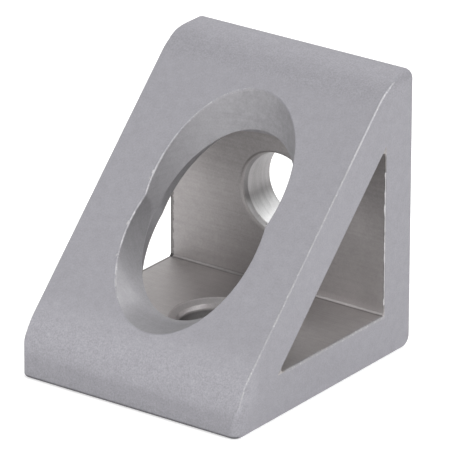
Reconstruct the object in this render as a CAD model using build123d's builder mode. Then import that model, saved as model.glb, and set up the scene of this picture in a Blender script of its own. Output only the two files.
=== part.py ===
"""Corner bracket for T slot profile: an extruded aluminium right-angle gusset.

Two equal legs meet at the heel, and a sloping wall joins their far ends at 45
degrees. The extrusion is cut to width and each leg is drilled for one bolt. A
wide drill is then run in along each bolt axis, through the sloping wall, so that
the bolt and its driver can reach the leg.

Frame: the origin is the centre of the base leg's bolt hole, in the plane of the
base mounting face. +Z points away from that face, +Y towards the back mounting
face, and X runs along the extrusion.
"""

import os
from math import isclose, radians, sqrt, tan

from build123d import *

# Extrusion profile, millimetres
leg_length = 25.4           # outer length of both legs, measured from the heel
leg_thickness = 4.0         # wall behind each mounting face
gusset_thickness = 3.8      # sloping wall, square to its faces
end_height = 3.4            # from a mounting face to where end face and slope would meet
end_flat = 0.5              # flat on each end face, between its tip and its shoulder
heel_radius = 1.0           # outer corner between the two mounting faces
inner_radius = 0.3          # all three corners of the triangular space
width = 22.8                # cut length of the extrusion

# Drilled features, millimetres and degrees
bolt_offset = 12.5          # each bolt axis, from the opposite mounting face
bolt_diameter = 7.1         # clearance hole for a 1/4 inch bolt
access_diameter = 13.0      # drill that opens the sloping wall
point_angle = 118           # point of the access drill
base_mark_width = 0.7       # ring that the drill point leaves around the base bolt hole
back_mark_width = 0.4       # the same around the back bolt hole
lead_in_width = 0.25        # by which the inner mouth of each bolt hole is wider, all round
lead_in_depth = 0.7         # over which that mouth tapers to the bolt hole

# Broken edges, millimetres
saw_radius = 0.12           # around the sawn ends, along the slope and the triangular space
edge_radius = 0.3           # around the mounting faces, where they meet sawn ends and tips
corner_radius = 0.8         # the two far corners of each mounting face
rim_radius = 0.12           # outer rim of the access opening
exit_chamfer = 0.1          # bolt holes, at the mounting faces

# Places that follow from the sizes above, as Y and Z in the part's frame
heel_y = bolt_offset
tip_y = heel_y - leg_length
inner_y = heel_y - leg_thickness
inner_reach = leg_length + end_height - 2 * leg_thickness - gusset_thickness * sqrt(2)

# The shoulder, where the slope turns 45 degrees into an end face, takes up what
# the tip and the flat leave of the end height. That is its tangent length.
shoulder_radius = (end_height - edge_radius - end_flat) / (sqrt(2) - 1)

bolt_radius = bolt_diameter / 2
access_radius = access_diameter / 2
point_slope = tan(radians(point_angle / 2))
upwards = (Align.CENTER, Align.CENTER, Align.MIN)


def round_corners(sketch, points, radius):
    """Fillet the corners of a sketch that lie at the given local points."""
    for point in points:
        fillet(sketch.vertices().sort_by_distance(point)[0], radius=radius)


def faces_to_profiles():
    """The heel and the two mounting faces: all that faces the T slot profiles."""
    return corner_bracket.faces().sort_by_distance((0, heel_y, 0))[:3]


def outer_side():
    """The outer face of the sloping wall, and the shoulder at each of its ends."""
    slope_normal = Axis((0, 0, 0), (0, -1, 1))
    faces = corner_bracket.faces()
    slope = faces.filter_by(slope_normal).sort_by(slope_normal)[-1]
    shoulders = faces.filter_by(lambda face: isclose(face.radius or 0, shoulder_radius))
    return ShapeList([slope, *shoulders])


def trim_to_leg_plan(mounting_plane):
    """Round the two far corners of a leg, seen square to its mounting face.

    The plane lies in that face, with its origin at the heel, its Y axis towards
    the leg's far end and its normal into the bracket.
    """
    with BuildSketch(mounting_plane) as leg_plan:
        Rectangle(width, leg_length, align=(Align.CENTER, Align.MIN))
        far_corners = leg_plan.vertices().group_by(Axis.Y)[-1]
        fillet(far_corners, radius=corner_radius)
    extrude(leg_plan.sketch, amount=leg_length, mode=Mode.INTERSECT)


def drill_bolt_hole(entry):
    """Drill through a leg from its inner face, with a tapered mouth.

    The plane entry lies in that face, centred on the hole, with its normal
    towards the sloping wall.
    """
    with Locations(entry):
        Hole(bolt_radius, depth=leg_thickness)
    mouth_radius = bolt_radius + lead_in_width
    with Locations(entry.offset(-lead_in_depth)):
        Cone(bolt_radius, mouth_radius, lead_in_depth, align=upwards, mode=Mode.SUBTRACT)


def drill_access(entry, mark_width):
    """Run the access drill in along a bolt axis, from the same plane entry.

    It stops once its point has cut a ring of mark_width around the bolt hole.
    """
    depth = (bolt_radius + mark_width) / point_slope
    point_height = access_radius / point_slope
    with Locations(entry.offset(-depth)):
        Cone(0, access_radius, point_height, align=upwards, mode=Mode.SUBTRACT)
    with Locations(entry.offset(point_height - depth)):
        Cylinder(access_radius, leg_length, align=upwards, mode=Mode.SUBTRACT)


base_plane = Plane(origin=(0, heel_y, 0), x_dir=(-1, 0, 0), z_dir=(0, 0, 1))
back_plane = Plane(origin=(0, heel_y, 0), x_dir=(1, 0, 0), z_dir=(0, -1, 0))
base_entry = Plane(origin=(0, 0, leg_thickness), z_dir=(0, 0, 1))
back_entry = Plane(origin=(0, inner_y, bolt_offset), z_dir=(0, -1, 0))

with BuildPart() as corner_bracket:
    # Outer profile of the extrusion
    with BuildSketch(Plane.YZ) as outline:
        with BuildLine():
            Polyline(
                (heel_y, 0),
                (heel_y, leg_length),
                (heel_y - end_height, leg_length),
                (tip_y, end_height),
                (tip_y, 0),
                close=True,
            )
        make_face()
        shoulders = [(heel_y - end_height, leg_length), (tip_y, end_height)]
        round_corners(outline, shoulders, shoulder_radius)
        round_corners(outline, [(heel_y, 0)], heel_radius)
    extrude(amount=width / 2, both=True)

    # Triangular space that runs right through, along X
    with BuildSketch(Plane.YZ) as core:
        with BuildLine():
            Polyline(
                (inner_y, leg_thickness),
                (inner_y, leg_thickness + inner_reach),
                (inner_y - inner_reach, leg_thickness),
                close=True,
            )
        make_face()
        fillet(core.vertices(), radius=inner_radius)
    extrude(amount=width / 2, both=True, mode=Mode.SUBTRACT)

    # Broken edges of the sawn ends, except along the mounting faces and the heel
    sawn_ends = corner_bracket.faces().filter_by(Axis.X)
    fillet(sawn_ends.edges() - faces_to_profiles().edges(), radius=saw_radius)

    # Rounder corners at each leg's far end, then the edges that were left out
    for mounting_plane in (base_plane, back_plane):
        trim_to_leg_plan(mounting_plane)
    fillet(faces_to_profiles().edges(), radius=edge_radius)

    # One bolt hole through each leg, and the access opening along both of them
    for entry in (base_entry, back_entry):
        drill_bolt_hole(entry)
    drill_access(base_entry, base_mark_width)
    drill_access(back_entry, back_mark_width)

    # Broken outer rim of the access opening
    curved_edges = outer_side().edges().filter_by(GeomType.LINE, reverse=True)
    rim = curved_edges.filter_by_position(Axis.X, -access_radius, access_radius)
    fillet(rim, radius=rim_radius)

    # Broken bolt hole exits in both mounting faces
    base_face = corner_bracket.faces().filter_by(Axis.Z).sort_by(Axis.Z)[0]
    back_face = corner_bracket.faces().filter_by(Axis.Y).sort_by(Axis.Y)[-1]
    for mounting_face in (base_face, back_face):
        chamfer(mounting_face.inner_wires().edges(), length=exit_chamfer)

corner_bracket.part.label = "corner_bracket"

os.makedirs("parts", exist_ok=True)
export_step(corner_bracket.part, "parts/corner_bracket.step")
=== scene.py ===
"""Looks for the T slot corner bracket: camera, studio and blasted aluminium.

The bracket's shape is the CAD model's own. This script gives it a metal finish that
follows its sizes, and adds two small pieces of burr. The camera, lamps and floor are
in metres. Places on the bracket are in millimetres, in the CAD frame.
"""

import math

import bmesh
import bpy
from mathutils import Matrix, Vector, noise


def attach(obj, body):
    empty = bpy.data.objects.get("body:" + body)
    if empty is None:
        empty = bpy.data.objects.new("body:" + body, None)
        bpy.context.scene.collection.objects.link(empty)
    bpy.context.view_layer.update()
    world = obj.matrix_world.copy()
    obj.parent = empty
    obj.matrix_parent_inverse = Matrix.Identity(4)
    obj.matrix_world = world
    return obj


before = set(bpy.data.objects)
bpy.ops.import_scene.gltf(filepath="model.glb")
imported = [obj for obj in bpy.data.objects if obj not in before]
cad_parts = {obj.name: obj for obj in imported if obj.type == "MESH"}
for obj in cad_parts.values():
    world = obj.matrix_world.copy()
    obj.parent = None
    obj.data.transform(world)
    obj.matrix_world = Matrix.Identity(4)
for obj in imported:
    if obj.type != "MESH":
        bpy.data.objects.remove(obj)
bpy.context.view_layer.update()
scene = bpy.context.scene

MM = 0.001
WHITE = (1, 1, 1, 1)

# Camera, metres and degrees. Azimuth 0 looks along +Y, elevation is above the horizon.
VIEW_AZIMUTH = 36.120
VIEW_ELEVATION = 22.306
VIEW_ROLL = 0.127
VIEW_DISTANCE = 0.51375
LENS_MM = 482.20
AIM_POINT = (-0.00017270, 0.00122934, 0.01199188)
CLIP_START = 0.05
CLIP_END = 20

# Soft lamps around the bracket: azimuth and elevation seen from it, then watts
LAMP_DISTANCE = 0.30
LAMP_SIZE = 0.12
LAMPS = {
    "front_low": (0, 12, 0.056),
    "right_front_low": (45, 12, 0.266),
    "right": (90, 35, 0.334),
    "left_back": (225, 35, 0.099),
    "left_front": (315, 35, 0.264),
    "right_back_high": (135, 60, 0.142),
    "back_high": (180, 60, 0.136),
    "left_back_high": (225, 60, 0.034),
    "left_high": (270, 60, 0.032),
}
WORLD_STRENGTH = 0.5

# Floor, metres
FLOOR_REACH = 4.0
FLOOR_Z = -0.02 * MM            # just clear of the base face
FLOOR_COLOUR = (0.85, 0.85, 0.85, 1)
FLOOR_GLOW = 0.35               # makes the floor white to the eye, and lights nothing

# Sizes of the bracket that its finish follows, millimetres
HALF_WIDTH = 11.4
LEG_TOP = 4.0                   # z of the base leg's inner face
WALL_Y = 8.5                    # y of the back leg's inner face
BACK_FACE_Y = 12.5              # y of the back leg's mounting face
BACK_HOLE_Z = 12.5              # z of the back bolt hole's axis
INNER_SLOPE = 10.926            # z - y on the inner face of the sloping wall
OUTER_SLOPE = 16.3              # z - y on its outer face
SHOULDER_RADIUS = 6.277
TOP_SHOULDER = (11.7, 19.123)   # y and z of the axis that the upper one is rounded about
TOE_SHOULDER = (-6.623, 0.8)    # the same for the lower one

# Noises that mark the metal: cells per mm along x, y and z, then detail
NOISES = {
    "grain": ((7, 7, 7), 2),
    "mottle": ((1.3, 1.3, 1.3), 3),
    "toe_mottle": ((3.0, 3.0, 3.0), 3),
    "swirl": ((2.2, 2.2, 2.2), 4),
    "patch": ((1.1, 1.1, 1.1), 3),
    "nick": ((4.5, 4.5, 4.5), 2),
    "tear": ((0.5, 0.5, 2.0), 3),
    "lines": ((0.15, 5.0, 5.0), 3),
    "y_rings": ((0.15, 3.0, 0.15), 3),
    "z_rings": ((0.15, 0.15, 3.0), 3),
}
NOISE_MIDDLE = 0.5              # what a noise is on average
TEAR_WIDTH = 0.5                # mm over which the tear noise moves an edge
LIT_PATCH_LEAN = 0.25              # slope of the edge of the back hole's painted pool of light, z over x

# A Mix node's sockets for each data type: its first value and its result
MIX_SOCKETS = {"FLOAT": (2, 0), "RGBA": (6, 2)}

# Masks, from 0 to 1. Each is the product of its factors. A factor is another mask or a
# band. A band names one of the measures below or a noise, then gives its value where the
# band is 0 and its value where the band is 1. A fourth number is what the band falls to
# in place of 0.
MASKS = {
    # Walls of the triangular space, and walls of the two access drillings
    "inside": [
        ("z", LEG_TOP - 0.1, LEG_TOP - 0.05),
        ("y", WALL_Y + 0.1, WALL_Y + 0.05),
        ("rise", INNER_SLOPE + 0.15, INNER_SLOPE + 0.08),
    ],
    "back_wall": ["inside", ("y", WALL_Y - 0.2, WALL_Y - 0.1)],
    "drilled": [
        ("rise", INNER_SLOPE + 0.08, INNER_SLOPE + 0.15),
        ("rise", OUTER_SLOPE - 0.1, OUTER_SLOPE - 0.25),
        ("across", 6.7, 6.6),
        ("y", -10.8, -10.7),
        ("z", 23.3, 23.2),
    ],
    "base_drilling": ["drilled", ("base_radius", 6.7, 6.55)],
    # Bolt holes
    "base_hole": [("base_radius", 4.27, 4.23)],
    "base_mouth": ["base_hole", ("z", LEG_TOP + 0.02, LEG_TOP - 0.02)],
    "base_bore": ["base_hole", ("z", LEG_TOP - 0.75, LEG_TOP - 0.95)],
    "back_hole": [("back_radius", 3.97, 3.93)],
    "back_bore": ["back_hole", ("y", WALL_Y - 0.02, WALL_Y + 0.02)],
    "back_mouth": ["back_bore", ("y", WALL_Y + 0.35, WALL_Y + 0.25)],
    # Painted pool of light on the lower wall of the back hole, below a leaning edge
    "lit_patch": [
        ("y", WALL_Y + 0.1, WALL_Y + 0.3),
        ("y", BACK_FACE_Y - 0.12, BACK_FACE_Y - 0.20),
        ("back_radius", 3.80, 3.76),
        ("lit_patch_height", -1.9, -3.3),
    ],
    # Edges with painted highlights and glints on some real rubbing: sawn ends, below the space's right
    # end, the rim
    "sawn_edge": [("across", HALF_WIDTH - 0.14, HALF_WIDTH - 0.08)],
    "slope_side": [("rise", OUTER_SLOPE - 0.20, OUTER_SLOPE - 0.12)],
    "top_side": [
        ("z", 23.4, 23.6),
        ("top_radius", SHOULDER_RADIUS - 0.14, SHOULDER_RADIUS - 0.08),
    ],
    "toe_side": [
        ("y", -10.9, -11.1),
        ("toe_radius", SHOULDER_RADIUS - 0.14, SHOULDER_RADIUS - 0.08),
    ],
    "outer_edge": ["sawn_edge", "outer_side"],
    "top_glint": ["outer_edge", ("z", 18.0, 21.0)],
    "floor_edge": [
        ("x", HALF_WIDTH - 0.3, HALF_WIDTH - 0.15),
        ("z", LEG_TOP - 0.3, LEG_TOP - 0.15),
        ("z", LEG_TOP + 0.05, LEG_TOP),
        ("rise", INNER_SLOPE - 0.7, INNER_SLOPE - 1.3),
        ("y", WALL_Y + 0.1, WALL_Y),
    ],
    "rim": [
        ("rise", OUTER_SLOPE - 0.3, OUTER_SLOPE - 0.2),
        ("rise", OUTER_SLOPE - 0.005, OUTER_SLOPE - 0.02),
        ("across", 6.9, 6.8),
        ("y", -9.6, -8.0),
        ("z", 23.3, 23.2),
        ("x", 2.0, -3.0),
    ],
    "rim_glint": ["rim", ("patch", 0.38, 0.6), ("z", 20.0, 15.5), ("y", -9.0, -6.5)],
    # Painted sheen on the rubbed edges, and painted glints where the nick noise is high
    "wear_and_sheen": ["rubbed_and_highlit", ("patch", 0.38, 0.6, 0.4)],
    "nick_glints": ["rubbed_and_highlit", ("nick", 0.56, 0.66)],
    # Painted shade: dark edges of the space, where it meets the sawn ends
    "upright_edge": [
        ("across", HALF_WIDTH - 0.2, HALF_WIDTH - 0.1),
        ("y", WALL_Y + 0.13, WALL_Y + 0.06),
        ("y", WALL_Y - 0.15, WALL_Y - 0.05),
        ("z", LEG_TOP + 0.1, LEG_TOP + 0.4),
        ("rise", INNER_SLOPE - 0.6, INNER_SLOPE - 0.9),
    ],
    "slanted_edge": [
        ("across", HALF_WIDTH - 0.2, HALF_WIDTH - 0.1),
        ("rise", INNER_SLOPE - 0.15, INNER_SLOPE - 0.05),
        ("rise", INNER_SLOPE + 0.22, INNER_SLOPE + 0.14),
        ("y", WALL_Y, WALL_Y - 0.1),
        ("z", LEG_TOP, LEG_TOP + 0.1),
    ],
    "far_end": ["inside", ("x", -11.05, -11.15)],
    "far_wall": ["back_wall", ("torn_x", -11.0, -11.1)],
    # Painted light and shade on the walls of the space: near its middle, along the
    # corner where the legs meet, on the base leg and on the back leg
    "deep_shade": ["inside", ("across", 9.0, 2.0)],
    "heel_corner": [
        "inside",
        ("z", LEG_TOP + 0.32, LEG_TOP + 0.18),
        ("y", WALL_Y - 0.32, WALL_Y - 0.18),
    ],
    "heel_right": ["heel_corner", ("x", 1.0, 4.0)],
    "floor_middle": [
        "inside",
        ("z", LEG_TOP + 0.08, LEG_TOP + 0.02),
        ("x", -9.0, -4.0),
        ("x", 6.0, 2.0),
    ],
    "wall_foot": [
        "back_wall",
        ("z", LEG_TOP + 0.9, LEG_TOP + 0.3),
        ("x", 1.0, 4.0, 0.2),
    ],
    "wall_low": ["back_wall", ("z", 10.0, 5.0), ("x", 10.5, 7.5), ("x", 0.0, 4.0)],
    "wall_top": ["back_wall", ("z", 11.5, 15.0)],
    # Painted light and shade, and swirl marks, on the walls of the access drillings
    "swirls": ["drilled", ("y", 3.5, 5.5), ("x", -4.5, -2.0), ("x", 4.5, 2.5)],
    "drilled_right": ["drilled", ("x", 0.5, 4.5)],
    "drilled_waist": [
        "drilled",
        ("base_radius", 6.50, 6.56),
        ("x", -4.5, -5.5),
        ("y", -6.5, -3.5),
    ],
    "lobe_side": ["drilled", ("y", -5.5, -7.0), ("x", -2.5, -4.5)],
    "lobe_end": ["drilled", ("y", -6.5, -8.0), ("x", -4.0, -2.0)],
    # Outside: stronger grain on both shoulders, and painted light and shade on the toe below the lower
    # one
    "top_bend": [("z", 23.2, 24.0)],
    "toe_bend": [("y", -10.8, -11.5)],
    "toe_band": [("y", -9.2, -10.8), ("z", 1.6, 3.2)],
    # Painted contact shadow along the toe's bottom edge
    "toe_bottom": [("z", 0.36, 0.15), ("y", -12.3, -12.6)],
    "toe_left": [("x", -10.9, -11.3), ("z", 2.0, 0.6), ("y", -10.0, -12.0)],
    "toe_face": [("y", -11.8, -12.6), ("z", 2.6, 1.6)],
}

# Masks that are each the highest of several others
UNIONS = {
    "bore": ("base_bore", "back_bore"),
    "cut": ("drilled", "bore"),
    "around_base": ("base_bore", "base_drilling"),
    "outer_side": ("slope_side", "top_side", "toe_side"),
    "rubbed_and_highlit": ("outer_edge", "floor_edge", "rim"),
    "far_window": ("far_end", "far_wall"),
    "shoulders": ("top_bend", "toe_bend"),
}

# Finishes: linear colour and roughness. The skin is everywhere, and the others cover it
# in turn, each on its mask.
SKIN = ((0.366, 0.361, 0.386, 1), 0.7)                  # blasted outside and sawn ends
FINISHES = {
    "inside": ((0.420, 0.400, 0.398, 1), 0.6),          # extruded walls of the space
    "drilled": ((0.375, 0.370, 0.385, 1), 0.7),         # walls of the access opening
    "base_mouth": ((0.68, 0.655, 0.655, 1), 0.45),      # ring and taper of the base hole, lightened: painted highlight
    "bore": ((0.30, 0.29, 0.292, 1), 0.45),             # walls of both bolt holes, darkened: painted shade
    "back_mouth": ((0.420, 0.400, 0.398, 1), 0.6),      # taper of the back hole
    "lit_patch": ((0.98, 0.98, 0.98, 1), 0.36),          # painted pool of light on the back hole's lower wall
    "wear_and_sheen": ((0.375, 0.370, 0.382, 1), 0.6),            # edges: some real rubbing, with a painted sheen
}

# How much each noise changes the metal's tone, as a share of its colour: everywhere, and
# what each mask adds to that. The rings run around each drilling's own axis.
MARKS = {
    "grain": (0.25, {"shoulders": 0.20, "toe_band": 0.10}),
    "toe_mottle": (0, {"toe_band": 0.20}),
    "mottle": (0.16, {}),
    "lines": (0, {"inside": 0.2}),
    "rings": (0, {"bore": 0.5, "drilled": 0.15}),
    "swirl": (0, {"swirls": 0.32}),
}

# Painted light and shade: how much lighter or darker each place is, as a share of its colour
TONES = {
    "toe_band": 0.07,
    "heel_corner": -0.45,
    "heel_right": 0.11,
    "floor_middle": 0.22,
    "wall_foot": 0.22,
    "wall_low": 0.14,
    "wall_top": -0.16,
    "drilled_right": -0.14,
    "drilled_waist": -0.16,
    "lobe_side": 0.22,
    "lobe_end": -0.14,
    "upright_edge": -0.30,
    "slanted_edge": -0.15,
    "nick_glints": 0.30,
    "far_window": -0.45,
    "toe_bottom": -0.50,
    "toe_left": -0.15,
    "toe_face": -0.09,
    "rim_glint": 0.34,
    "top_glint": 0.22,
    "deep_shade": -0.12,
}

# Relief of the noises
BUMP_DEPTH = 0.02 * MM
BUMP_STRENGTH = 0.6

# Burrs: linear colours and roughness of their torn metal, and its noise as in NOISES
BURR_DARK = (0.34, 0.33, 0.34, 1)
BURR_BRIGHT = (0.62, 0.61, 0.63, 1)
BURR_ROUGHNESS = 0.5
BURR_NOISE = ((9, 9, 9), 2)

# Lumps on the rim of the access opening: middle and reach, millimetres
RIM_BURRS = [
    ((-6.60, -0.42, 15.88), 0.20),
    ((-6.61, -0.84, 15.46), 0.15),
    ((-6.63, -3.97, 12.33), 0.19),
    ((-6.20, -6.10, 10.20), 0.13),
]
# Half axes of a lump, times its reach: across the slope, up the slope and out of it
RIM_BURR_AXES = ((0.45, 0, 0), (0, 0.7071, 0.7071), (0, -0.25, 0.25))
RIM_BURR_CELLS = 1.7            # noise cells over a half axis
RIM_BURR_RELIEF = 0.5           # by which noise changes a half axis

# Lip along the upright edge of the space's right end, millimetres
EDGE_BURR_Z = (5.0, 17.2)
EDGE_BURR_STEPS = 60
EDGE_BURR_FOOT = ((11.29, 8.51), (11.39, 8.60))     # x and y of two corners of its section
EDGE_BURR_TIP = (11.36, 8.50)                       # the third, before it stands out
EDGE_BURR_REACH = 0.20
EDGE_BURR_SHARES = (0.06, 0.25, 1.0)                # least, usual and most of that reach
EDGE_BURR_TEARS = ((0, 0.9, 1.3), (3, 4, 0.6))      # noise offset, cells per mm and amount


class Graph:
    """Short ways to add and join the nodes of one material."""

    def __init__(self, tree):
        self.tree = tree
        tree.nodes.clear()

    def node(self, kind, inputs=None, **settings):
        made = self.tree.nodes.new("ShaderNode" + kind)
        for name, value in settings.items():
            setattr(made, name, value)
        for name, value in (inputs or {}).items():
            self.feed(made.inputs[name], value)
        return made

    def feed(self, socket, value):
        if isinstance(value, bpy.types.NodeSocket):
            self.tree.links.new(value, socket)
        else:
            socket.default_value = value

    def math(self, operation, *values):
        made = self.node("Math", operation=operation)
        for socket, value in zip(made.inputs, values):
            self.feed(socket, value)
        return made.outputs[0]

    def fold(self, operation, values):
        """One value from several, taken in turn."""
        result, *others = values
        for value in others:
            result = self.math(operation, result, value)
        return result

    def rise(self, value, none, full):
        """0 up to none and 1 from full on, smooth between. Either may be the larger."""
        made = self.node("MapRange", interpolation_type="SMOOTHSTEP")
        for name, number in (("Value", value), ("From Min", none), ("From Max", full)):
            self.feed(made.inputs[name], number)
        return made.outputs["Result"]

    def blend(self, factor, first, second, kind="RGBA"):
        """The first value where the factor is 0, the second where it is 1."""
        first_input, result = MIX_SOCKETS[kind]
        values = {0: factor, first_input: first, first_input + 1: second}
        return self.node("Mix", data_type=kind, inputs=values).outputs[result]

    def scale(self, vector, amount):
        return self.node("VectorMath", {0: vector, "Scale": amount}, operation="SCALE").outputs[0]

    def reach(self, first, second):
        """Distance from an axis, from the two coordinates square to it."""
        squares = [self.math("MULTIPLY", value, value) for value in (first, second)]
        return self.math("SQRT", self.math("ADD", *squares))

    def position_mm(self):
        """Where the shaded point is. Each piece's origin is the CAD frame's."""
        return self.scale(self.node("TexCoord").outputs["Object"], 1 / MM)

    def noise(self, position, cells_per_mm, detail):
        cells = self.node("VectorMath", {0: position, 1: cells_per_mm}, operation="MULTIPLY")
        inputs = {"Vector": cells.outputs[0], "Scale": 1.0, "Detail": detail}
        return self.node("TexNoise", inputs).outputs[0]

    def wobble(self, noise_value, amount):
        """Noise about zero, with the given reach from one extreme to the other."""
        return self.math("MULTIPLY", self.math("SUBTRACT", noise_value, NOISE_MIDDLE), amount)


class Masks:
    """The masks of MASKS and UNIONS, each made when it is first asked for."""

    def __init__(self, graph, measures):
        self.graph = graph
        self.measures = measures
        self.made = {}

    def __getitem__(self, name):
        if name not in self.made:
            self.made[name] = self.union(name) if name in UNIONS else self.product(name)
        return self.made[name]

    def union(self, name):
        return self.graph.fold("MAXIMUM", [self[part] for part in UNIONS[name]])

    def product(self, name):
        factors = [self[f] if isinstance(f, str) else self.band(*f) for f in MASKS[name]]
        return self.graph.fold("MULTIPLY", factors)

    def band(self, name, none, full, least=0):
        share = self.graph.rise(self.measures[name], none, full)
        return self.graph.math("MULTIPLY_ADD", share, 1 - least, least) if least else share

    def weighted(self, start, amounts):
        """A value that starts the same everywhere, plus an amount on each mask."""
        parts = [self.graph.math("MULTIPLY", self[name], by) for name, by in amounts.items()]
        return self.graph.fold("ADD", [start, *parts])


def look_axes(azimuth, elevation, roll):
    """The camera's right, up and backward directions."""
    a, e, r = (math.radians(d) for d in (azimuth, elevation, roll))
    back = Vector((math.sin(a) * math.cos(e), -math.cos(a) * math.cos(e), math.sin(e)))
    right = Vector((math.cos(a), math.sin(a), 0))
    up = back.cross(right)
    return right * math.cos(r) + up * math.sin(r), up * math.cos(r) - right * math.sin(r), back


def aim(data, axes, distance):
    """A camera or lamp at a distance from the aim point, looking at it."""
    made = bpy.data.objects.new(data.name, data)
    spot = Vector(AIM_POINT) + distance * axes[2]
    made.matrix_world = Matrix.Translation(spot) @ Matrix(axes).transposed().to_4x4()
    scene.collection.objects.link(made)
    return made


def make_camera():
    data = bpy.data.cameras.new("camera")
    data.lens = LENS_MM
    data.clip_start = CLIP_START
    data.clip_end = CLIP_END
    scene.camera = aim(data, look_axes(VIEW_AZIMUTH, VIEW_ELEVATION, VIEW_ROLL), VIEW_DISTANCE)


def make_lamps():
    for name, (azimuth, elevation, watts) in LAMPS.items():
        data = bpy.data.lights.new(name, "AREA")
        data.size = LAMP_SIZE
        data.energy = watts
        aim(data, look_axes(azimuth, elevation, 0), LAMP_DISTANCE)


def make_world():
    world = bpy.data.worlds.new("studio")
    scene.world = world
    world.use_nodes = True
    backdrop = world.node_tree.nodes["Background"].inputs
    backdrop["Color"].default_value = WHITE
    backdrop["Strength"].default_value = WORLD_STRENGTH


def new_material(name):
    mat = bpy.data.materials.new(name)
    mat.use_nodes = True
    return mat, Graph(mat.node_tree)


def seen_by_eye(g):
    """1 for camera, glossy and transmission rays, so that metal shows the backdrop too."""
    rays = g.node("LightPath").outputs
    return g.fold("MAXIMUM", [rays[f"Is {kind} Ray"] for kind in ("Camera", "Glossy", "Transmission")])


def make_floor_material():
    """Paper that the eye sees as white, and that still shows the bracket's shadow."""
    mat, g = new_material("floor")
    paper = g.node("BsdfDiffuse", {"Color": FLOOR_COLOUR})
    glow_strength = g.math("MULTIPLY", seen_by_eye(g), FLOOR_GLOW)
    glow = g.node("Emission", {"Color": WHITE, "Strength": glow_strength})
    glowing_paper = g.node("AddShader", {0: paper.outputs[0], 1: glow.outputs[0]})
    g.node("OutputMaterial", {"Surface": glowing_paper.outputs[0]})
    return mat


def make_floor():
    signs = ((-1, -1), (1, -1), (1, 1), (-1, 1))
    corners = [(x * FLOOR_REACH, y * FLOOR_REACH, FLOOR_Z) for x, y in signs]
    mesh = bpy.data.meshes.new("floor")
    mesh.from_pydata(corners, [], [(0, 1, 2, 3)])
    mesh.materials.append(make_floor_material())
    floor = bpy.data.objects.new("floor", mesh)
    scene.collection.objects.link(floor)


def measure(g, position, tear):
    """Where the shaded point lies on the bracket, in millimetres, by name."""
    x, y, z = g.node("SeparateXYZ", {0: position}).outputs
    above_hole = g.math("SUBTRACT", z, BACK_HOLE_Z)

    def shoulder_radius(axis):
        return g.reach(*(g.math("SUBTRACT", here, there) for here, there in zip((y, z), axis)))

    return {
        "x": x,
        "y": y,
        "z": z,
        # From the middle of the width, and square to the sloping wall
        "across": g.math("ABSOLUTE", x),
        "rise": g.math("SUBTRACT", z, y),
        # From the axes of both bolt holes and both shoulders
        "base_radius": g.reach(x, y),
        "back_radius": g.reach(x, above_hole),
        "top_radius": shoulder_radius(TOP_SHOULDER),
        "toe_radius": shoulder_radius(TOE_SHOULDER),
        # Heights in the back hole from the leaning edge of its painted pool of light, and x with a
        # torn edge
        "lit_patch_height": g.math("ADD", above_hole, g.math("MULTIPLY", x, LIT_PATCH_LEAN)),
        "torn_x": g.math("ADD", x, g.wobble(tear, TEAR_WIDTH)),
    }


def finish(g, masks):
    """Colour and roughness over the whole bracket, before its marks."""
    colour, rough = SKIN
    for name, (tint, roughness) in FINISHES.items():
        colour = g.blend(masks[name], colour, tint)
        rough = g.blend(masks[name], rough, roughness, "FLOAT")
    return colour, rough


def make_metal():
    """Aluminium: blasted outside, drawn along the extrusion inside, with drilled rings, and painted
    light and shade in its tone.
    """
    mat, g = new_material("blasted_aluminium")
    position = g.position_mm()
    noises = {name: g.noise(position, *settings) for name, settings in NOISES.items()}
    masks = Masks(g, {**measure(g, position, noises["tear"]), **noises})
    rings = g.blend(masks["around_base"], noises["y_rings"], noises["z_rings"], "FLOAT")
    noises["rings"] = rings

    colour, rough = finish(g, masks)
    marks = [g.wobble(noises[name], masks.weighted(*amounts)) for name, amounts in MARKS.items()]
    tone = g.fold("ADD", [masks.weighted(1.0, TONES), *marks])

    relief = g.blend(masks["inside"], noises["grain"], noises["lines"], "FLOAT")
    relief = g.blend(masks["cut"], relief, rings, "FLOAT")
    bump = g.node("Bump", {"Height": relief, "Distance": BUMP_DEPTH, "Strength": BUMP_STRENGTH})
    inputs = {
        "Base Color": g.scale(colour, tone),
        "Metallic": 1.0,
        "Roughness": rough,
        "Normal": bump.outputs[0],
    }
    g.node("OutputMaterial", {"Surface": g.node("BsdfPrincipled", inputs).outputs[0]})
    return mat


def make_burr_metal():
    mat, g = new_material("torn_aluminium")
    shade = g.blend(g.noise(g.position_mm(), *BURR_NOISE), BURR_DARK, BURR_BRIGHT)
    inputs = {"Base Color": shade, "Metallic": 1.0, "Roughness": BURR_ROUGHNESS}
    g.node("OutputMaterial", {"Surface": g.node("BsdfPrincipled", inputs).outputs[0]})
    return mat


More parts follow.
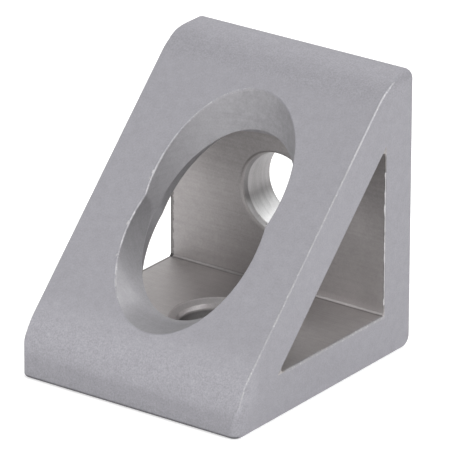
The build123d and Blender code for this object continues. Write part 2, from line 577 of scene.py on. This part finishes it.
def add_piece(name, mesh, mat):
    mesh.materials.append(mat)
    piece = bpy.data.objects.new(name, mesh)
    scene.collection.objects.link(piece)
    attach(piece, "root")


def make_rim_burrs(mat):
    """Small torn lumps, longer along the slope than they are wide or high."""
    axes = Matrix(RIM_BURR_AXES).transposed()
    shape = bmesh.new()
    for middle, reach in RIM_BURRS:
        centre = Vector(middle)
        for vert in bmesh.ops.create_icosphere(shape, subdivisions=3, radius=1)["verts"]:
            torn = 1 + RIM_BURR_RELIEF * noise.noise(vert.co * RIM_BURR_CELLS + centre)
            vert.co = (centre + reach * torn * (axes @ vert.co)) * MM
    mesh = bpy.data.meshes.new("rim_burrs")
    shape.to_mesh(mesh)
    shape.free()
    add_piece("rim_burrs", mesh, mat)


def edge_burr_reach(z):
    """How far the lip stands out at this height: coarse tears with fine ones on them."""
    least, share, most = EDGE_BURR_SHARES
    for offset, cells_per_mm, amount in EDGE_BURR_TEARS:
        share += amount * noise.noise(Vector((offset, 0, z * cells_per_mm)))
    return EDGE_BURR_REACH * max(least, min(most, share))


def make_edge_burr(mat):
    """A thin torn lip with a three-sided section, closed at both ends."""
    low, high = EDGE_BURR_Z
    tip_x, tip_y = EDGE_BURR_TIP
    verts = []
    for step in range(EDGE_BURR_STEPS + 1):
        z = low + (high - low) * step / EDGE_BURR_STEPS
        section = (*EDGE_BURR_FOOT, (tip_x, tip_y - edge_burr_reach(z)))
        verts += [(x * MM, y * MM, z * MM) for x, y in section]
    last = len(verts) - 3
    faces = []
    for here in range(0, last, 3):
        above = here + 3
        for side, after in ((0, 1), (1, 2), (2, 0)):
            faces.append((here + side, here + after, above + after, above + side))
    faces += [(2, 1, 0), (last, last + 1, last + 2)]
    mesh = bpy.data.meshes.new("edge_burr")
    mesh.from_pydata(verts, [], faces)
    mesh.validate()
    add_piece("edge_burr", mesh, mat)


make_camera()
make_lamps()
make_world()
make_floor()
scene.view_settings.view_transform = "Standard"

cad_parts["corner_bracket"].material_slots[0].material = make_metal()
torn_metal = make_burr_metal()
make_rim_burrs(torn_metal)
make_edge_burr(torn_metal)
